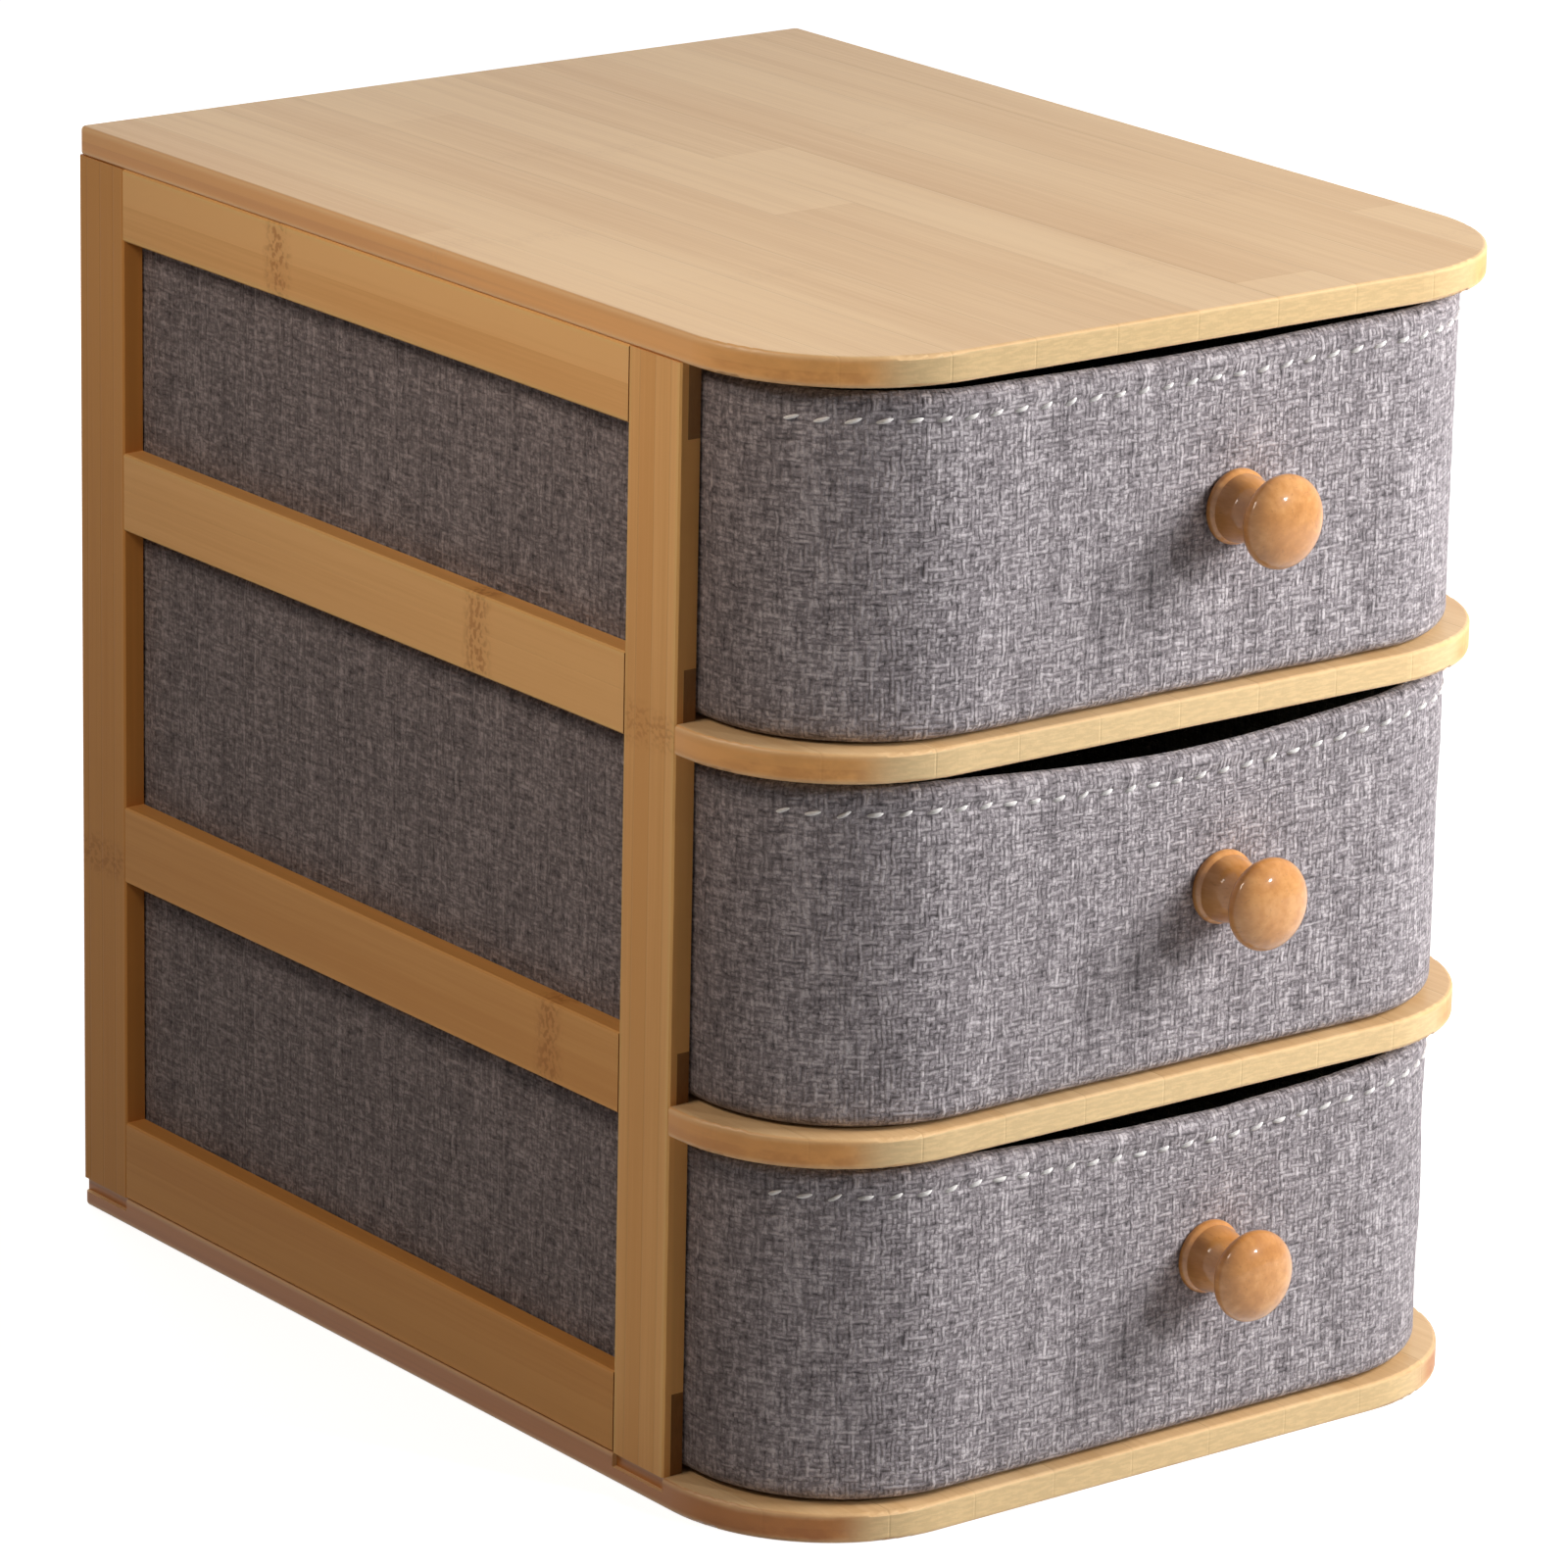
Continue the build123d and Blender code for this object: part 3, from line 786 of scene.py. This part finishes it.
def ply_sheet(name, pale, deep):
    """Thin plywood: wavy long figure with fine fibres, unvarnished, with grain up and down."""
    f = Finish(name)
    spot = f.place(stretch=(1.0, 1.0, 0.09))
    bend = f.grain(spot, 30.0)
    fibres = f.add("Mapping", {0: spot, 1: (0.3, 0.1, 0.2), 3: (9.0, 9.0, 2.0)}).outputs[0]
    figure = f.grain(fibres, 24.0, 4.0, 0.6)
    colour = f.blend(f.ease(f.mixed((bend, 0.5), (figure, 0.6)), 0.38, 0.72), deep, pale)
    return f.finish(colour, 0.62, figure, 0.1 * MM, 0.5)


def zinc(name):
    """Bright zinc plate with faint spangle, which is duller in some places than in others."""
    f = Finish(name)
    spangle = f.add("TexVoronoi", {"Vector": f.place(), "Scale": 900.0}).outputs["Distance"]
    colour = f.blend(f.ease(spangle, 0.2, 0.8), (0.52, 0.54, 0.57), (0.74, 0.75, 0.76))
    rough = f.ease(spangle, 0.0, 1.0, 0.24, 0.42)
    return f.finish(colour, rough, spangle, 0.04 * MM, 0.3, Metallic=1.0)


# ------------------------------------------------------------ carcass finish

BOARD_PALE, BOARD_DEEP = (0.755, 0.515, 0.275), (0.61, 0.365, 0.165)
BOARD_EDGE, BOARD_END = (0.72, 0.35, 0.102), (0.64, 0.455, 0.225)
# The front edges of the shelves and the bottom board: the end grain's colour, painted lighter than the top
# board's as painted light.
SHELF_END_PAINTED_LIGHT = (0.72, 0.52, 0.265)
RAIL_PALE, RAIL_DEEP = (0.83, 0.455, 0.170), (0.71, 0.350, 0.112)
RAIL_EDGE, RAIL_END = (0.68, 0.33, 0.10), (0.24, 0.105, 0.035)
# The tones below are painted light and shade; a lower tone paints shade that is darker and warmer.
PAINTED_SHADE_POWERS = (1.0, 1.5, 2.4)  # how much faster green and blue fall than red

# Each board with its edges' tone, a painted shade that is darker on the lower boards, and its front edge's
# colour.
BOARDS = (("top_board", 1.0, BOARD_END), ("upper_shelf", 0.98, SHELF_END_PAINTED_LIGHT),
          ("lower_shelf", 0.88, SHELF_END_PAINTED_LIGHT), ("bottom_board", 0.56, SHELF_END_PAINTED_LIGHT))
# Each rail and post with its tone, painted light and shade that is lighter at the top and the front and
# darker towards the bottom and the rear, and the place of one node.
RAILS = (("top_rail", 1.08, 0.054), ("upper_rail", 1.05, -0.020),
         ("lower_rail", 0.92, -0.047), ("bottom_rail", 0.82, 0.150))
POSTS = (("front_post", 1.06, 0.166), ("rear_post", 0.77, 0.085))
# The seed of the first board, and for each side the seeds of its first rail and of its dowels.
BOARD_SEED = 11
SIDE_SEEDS = {"left": (31, 96), "right": (37, 102)}


def painted_light_toned(tone, *colours):
    """The same colours with painted light and shade: a lower tone is darker and also warmer, a higher tone
    lighter.
    """
    return [shaded(colour, *(tone ** power for power in PAINTED_SHADE_POWERS)) for colour in colours]


def level_of(node):
    """The height of the middle of a node."""
    low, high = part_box(node)
    return (low[2] + high[2]) / 2


def span(node, axis):
    """The middle and half the size of a node along one axis, as a rim."""
    low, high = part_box(node)
    k = "XYZ".index(axis)
    return axis, (low[k] + high[k]) / 2, (high[k] - low[k]) / 2


def finish_carcass():
    """Every piece of the carcass gets its own bamboo, with grain along its length."""
    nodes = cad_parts
    for seed, (node, tone, end) in enumerate(BOARDS, BOARD_SEED):
        wood = bamboo(f"{node}_bamboo", "Y", "X", BOARD_PALE, BOARD_DEEP, *painted_light_toned(tone, BOARD_EDGE), end, seed,
                      width=21.0, middle=level_of(node), marks=0.10, seams=0.16, rim=span(node, "Z"))
        dress(nodes[node], wood)
    for side, (first, dowel_seed) in SIDE_SEEDS.items():
        for seed, (rail, tone, knot) in enumerate(RAILS, first):
            node = f"{side}_{rail}"
            colours = painted_light_toned(tone, RAIL_PALE, RAIL_DEEP, RAIL_EDGE, RAIL_END)
            wood = bamboo(f"{node}_bamboo", "Y", "Z", *colours, seed, width=60.0, middle=level_of(node),
                          marks=0.75, seams=0.0, shine=0.10, rim=span(node, "Z"), node_at=knot)
            dress(nodes[node], wood)
        for seed, (post, tone, knot) in enumerate(POSTS, first + len(RAILS)):
            node = f"{side}_{post}"
            colours = painted_light_toned(tone, RAIL_PALE, RAIL_DEEP, RAIL_EDGE, RAIL_EDGE)
            wood = bamboo(f"{node}_bamboo", "Z", "Y", *colours, seed, width=5.2, middle=BELOW_ALL,
                          marks=0.45, seams=0.16, shine=0.10, rim=span(node, "Y"), node_at=knot)
            dress(nodes[node], wood)
        dowel_wood = bamboo(f"{side}_dowel_wood", "Z", "Y", BOARD_PALE, BOARD_DEEP, BOARD_DEEP, BOARD_END,
                            dowel_seed, width=30.0, gloss=0.6)
        dress(nodes[f"{side}_dowels"], dowel_wood)
    dress(nodes["back_panel"], ply_sheet("back_ply", (0.66, 0.46, 0.26), (0.50, 0.32, 0.16)))


# ------------------------------------------------------------------- drawers

CLOTH_COLOURS = ((0.078, 0.068, 0.073), (0.272, 0.243, 0.257), (0.62, 0.568, 0.588))
# The painted shade that darkens the cloth on the drawers' sides and back.
CLOTH_SIDE_PAINTED_SHADE = (0.65, 0.60, 0.57)
LINING_COLOURS = ((0.16, 0.15, 0.148), (0.34, 0.32, 0.315), (0.55, 0.53, 0.52))


def finish_drawers():
    """Each drawer's cloth, lining, stitching and knob, made over its solids and riding on its body."""
    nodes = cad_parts
    cloth = linen("linen_cloth", *CLOTH_COLOURS, seed=3, pitch=1.05, flank=CLOTH_SIDE_PAINTED_SHADE)
    inside = linen("lining_cloth", *LINING_COLOURS, seed=5, pitch=0.7)
    thread = spun_thread("pale_thread")
    board = fibre_board("greyboard", (0.42, 0.39, 0.34), (0.30, 0.275, 0.235))
    metal = zinc("zinc_plate")
    for level in LEVELS:
        drawer = f"{level}_drawer"
        cover_seed, lining_seed, stitch_seed, knob_seed = SEEDS[level]
        low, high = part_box(f"{drawer}_cover")
        hem_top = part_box(f"{drawer}_hem")[1][2]
        high = (high[0], high[1], max(high[2], hem_top))
        cover, walk, out, up, section = cover_skin(level, low, high, cover_seed)
        dress(cover, cloth)
        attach(cover, drawer)
        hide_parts(f"{drawer}_cover", f"{drawer}_hem")
        lining = lining_skin(level, low, high, lining_seed)
        dress(lining, inside)
        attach(lining, drawer)
        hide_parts(f"{drawer}_lining")
        stitches = stitch_rows(level, walk, low, high, out, up, section, stitch_seed)
        dress(stitches, thread)
        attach(stitches, drawer)
        knob_low, knob_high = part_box(f"{drawer}_knob")
        seat = ((knob_low[0] + knob_high[0]) / 2, knob_high[1], (knob_low[2] + knob_high[2]) / 2)
        knob = turned_knob(level, seat, knob_low, knob_high)
        dress(knob, turned_wood(f"{level}_knob_wood", knob_seed))
        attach(knob, drawer)
        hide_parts(f"{drawer}_knob")
        inner_board = front_board(level, low, high, *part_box(f"{drawer}_front_stiffener"))
        dress(inner_board, board)
        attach(inner_board, drawer)
        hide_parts(f"{drawer}_front_stiffener")
        for part in ("left", "right", "rear", "floor"):
            dress(nodes[f"{drawer}_{part}_stiffener"], board)
        for part in ("screw", "washer"):
            dress(nodes[f"{drawer}_knob_{part}"], metal)


# ------------------------------------------------------- camera, light, room

MIDDLE = (0.0, 0.0, 0.125)
AMBIENT = 0.05
FLOOR_HALF = 7.0
SMALL_LAMP = 0.3
# name, azimuth, elevation, distance, aim, size, power, tint
LAMPS = [
    ("right_softbox", 49, 27, 0.86, MIDDLE, 0.42, 9.4, (1, 1, 1)),
    ("front_lamp", 22, 20, 1.9, MIDDLE, 0.07, 8.3, (1, 1, 1)),
    ("left_softbox", -94, 44, 0.43, (-0.10, -0.075, 0.20), 0.13, 0.90, (1.0, 0.88, 0.76)),
    ("rear_softbox", 172, 9, 1.2, MIDDLE, 0.50, 6.0, (1, 0.98, 0.95)),
]
CAMERA_TURN = (-37.645, 17.116, 1.769737)  # azimuth, elevation, distance
CAMERA_AIM = (-1.963 * MM, 0.0, 117.049 * MM)
CAMERA_ROLL = 1.215
CAMERA_LENS = 186.789
SENSOR = 36.0


def stand(name, data, azimuth, elevation, distance, aim, roll=0.0):
    """Stands a camera or a lamp at a distance from the point that it looks at, turned about its own
    axis by a roll. Azimuth 0 is straight in front and 90 is on the right."""
    a, e, turn = math.radians(azimuth), math.radians(elevation), math.radians(roll)
    back = np.array([math.sin(a) * math.cos(e), -math.cos(a) * math.cos(e), math.sin(e)])
    side = np.cross([0, 0, 1], back)
    side = side / np.linalg.norm(side)
    rise = np.cross(back, side)
    right = math.cos(turn) * side + math.sin(turn) * rise
    upward = -math.sin(turn) * side + math.cos(turn) * rise
    matrix = np.eye(4)
    matrix[:3] = np.stack([right, upward, back, np.array(aim) + back * distance], axis=1)
    thing = bpy.data.objects.new(name, data)
    bpy.context.scene.collection.objects.link(thing)
    thing.matrix_world = Matrix(matrix.tolist())
    return thing


def set_camera():
    """A long lens low on the left of the front, turned a little about its own axis."""
    data = bpy.data.cameras.new("camera")
    data.lens, data.sensor_width = CAMERA_LENS, SENSOR
    bpy.context.scene.camera = stand("camera", data, *CAMERA_TURN, CAMERA_AIM, CAMERA_ROLL)


def lamp(name, azimuth, elevation, distance, aim, size, power, tint):
    """A square soft lamp. Only the small lamps show in the varnish."""
    data = bpy.data.lights.new(name, "AREA")
    data.size, data.energy, data.color = size, power, tint
    light = stand(name, data, azimuth, elevation, distance, aim)
    light.visible_glossy = size < SMALL_LAMP


def seen_share(f):
    """1 for what the camera sees, straight, in a reflection or through glass."""
    path = f.add("LightPath", {}).outputs
    seen = f.sum("ADD", path["Is Camera Ray"], path["Is Glossy Ray"])
    return f.sum("ADD", seen, path["Is Transmission Ray"], clamp=True)


def set_room():
    """A white floor that keeps a faint shadow near the object, and a white room whose own light is dim."""
    half = FLOOR_HALF
    corners = [(-half, -half, 0), (half, -half, 0), (half, half, 0), (-half, half, 0)]
    floor = new_piece("floor", corners, [[[0, 1, 2, 3]]])
    f = Finish("white_floor")
    f.fix(Base_Color=(0.50, 0.50, 0.50, 1), Roughness=0.9, Specular_IOR_Level=0.0,
          Emission_Color=(1, 1, 1, 1))
    away = f.add("VectorMath", {0: f.place()}, operation="LENGTH").outputs["Value"]
    glow = f.sum("MULTIPLY", seen_share(f), f.ease(away, 0.25, 1.0, 0.86, 0.99))
    f.give(f.shader, "Emission Strength", glow)
    dress(floor, f.material)
    world = bpy.data.worlds.new("white_room")
    world.use_nodes = True
    bpy.context.scene.world = world
    room = Nodes(world.node_tree)
    strength = room.between(seen_share(room), AMBIENT, 1.0)
    sky = room.add("Background", {0: (1, 1, 1, 1), 1: strength})
    room.add("OutputWorld", {0: sky.outputs[0]})


finish_carcass()
finish_drawers()
set_camera()
set_room()
for row in LAMPS:
    lamp(*row)

bpy.context.scene.view_settings.view_transform = "Standard"
